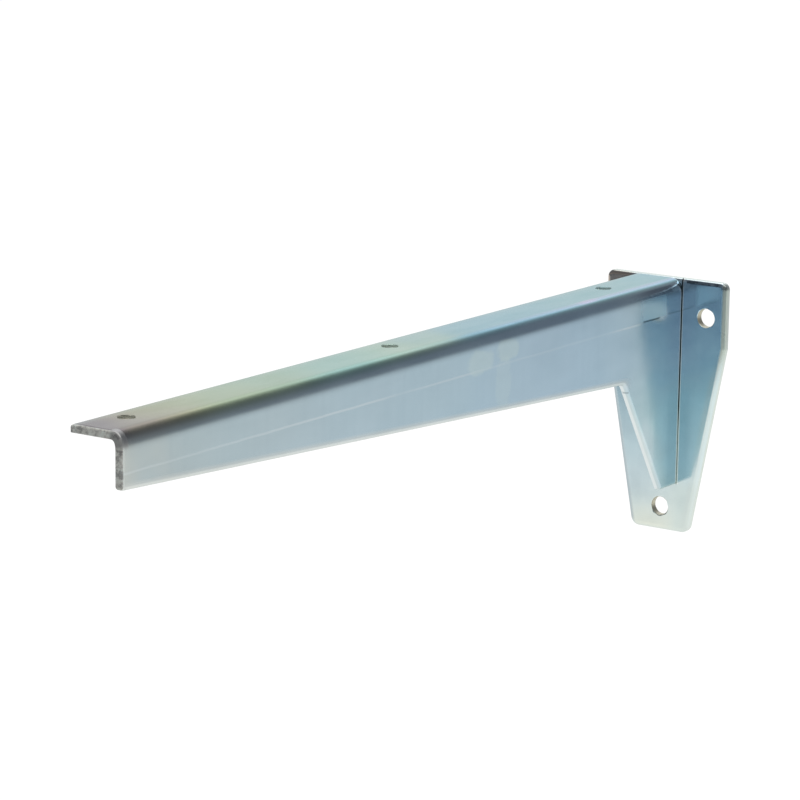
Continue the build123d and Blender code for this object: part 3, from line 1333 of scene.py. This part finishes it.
def surroundings():
    """White to the camera. The metal mirrors a white backdrop at the back left, a dim room at the
    back right, and in front a dim room with a pale ceiling."""
    world = bpy.data.worlds.new("studio")
    world.use_nodes = True
    tree = world.node_tree
    direction = tree.nodes.new("ShaderNodeTexCoord").outputs["Generated"]
    sideways, inwards, upwards = axes_of(tree, direction)
    turned_in = calc(tree, "SUBTRACT", sideways, eased(tree, inwards, 0.76, 0.85, 0.0, 0.17))
    behind = gradient(tree, turned_in, [
        (-1.00, (0.80, 0.82, 0.84)),
        (-0.54, (0.93, 0.95, 0.96)),
        (-0.42, (1.22, 1.22, 1.30)),
        (-0.32, (1.30, 1.28, 1.40)),
        (-0.25, (0.86, 0.86, 0.90)),
        (-0.16, (0.50, 0.52, 0.53)),
        (-0.04, (0.30, 0.31, 0.32)),
        (0.08, (0.22, 0.23, 0.25)),
        (0.20, (0.17, 0.18, 0.20)),
        (0.56, (0.18, 0.19, 0.22)),
        (0.76, (0.35, 0.36, 0.38)),
        (1.00, (0.60, 0.61, 0.62)),
    ])
    before = gradient(tree, upwards, [
        (0.00, (0.30, 0.31, 0.33)),
        (0.15, (0.16, 0.17, 0.19)),
        (0.65, (0.16, 0.17, 0.19)),
        (0.85, (0.75, 0.75, 0.75)),
        (1.00, (0.90, 0.90, 0.90)),
    ])
    room = blended(tree, eased(tree, inwards, 0.1, 0.6), before, behind)
    path = tree.nodes.new("ShaderNodeLightPath")
    colour = blended(tree, path.outputs["Is Camera Ray"], room, (1, 1, 1, 1))
    tree.links.new(colour, tree.nodes["Background"].inputs["Color"])
    bpy.context.scene.world = world


def softbox():
    """A large square lamp high over the bracket, pointing down at the arm."""
    place = Vector((0.2, -0.4, 1.7))
    aim = Vector((0, -0.25, 0))
    lamp = bpy.data.lights.new("overhead_softbox", "AREA")
    lamp.shape = "SQUARE"
    lamp.size = 2.4
    lamp.energy = 18
    made = linked("overhead_softbox", lamp)
    turn = (aim - place).to_track_quat("-Z", "Y")
    made.matrix_world = Matrix.Translation(place) @ turn.to_matrix().to_4x4()


def dressed(piece, material, node):
    """A finished piece: its material, the body it rides on and the node it stands for."""
    piece.data.materials.append(material)
    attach(piece, "root")
    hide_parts(node)


bpy.context.scene.view_settings.view_transform = "Standard"
camera()
floor()
surroundings()
softbox()

arm_zinc = zinc("zinc_on_arm", arm_colour, arm_rim_finish, arm_marks_and_painted_light, finest=0.19, dullest=0.27)
plate_zinc = zinc("zinc_on_plate", plate_colour, plate_rim_finish, plate_marks_and_painted_light, finest=0.12, dullest=0.18)
dressed(arm_piece(), arm_zinc, "arm")
dressed(plate_piece(), plate_zinc, "wall_plate")

weld_material = weld_finish()
under_flange = Matrix.Translation((flange_weld_middle, seam, top - thickness))
behind_web = Matrix.Translation((web_side - thickness, seam, web_weld_middle))
behind_web = behind_web @ Matrix.Rotation(pi / 2, 4, "Y")
flange_bead = weld_piece("flange_weld_bead", flange_weld_length, under_flange)
web_bead = weld_piece("web_weld_bead", web_weld_length, behind_web)
dressed(flange_bead, weld_material, "flange_weld")
dressed(web_bead, weld_material, "web_weld")
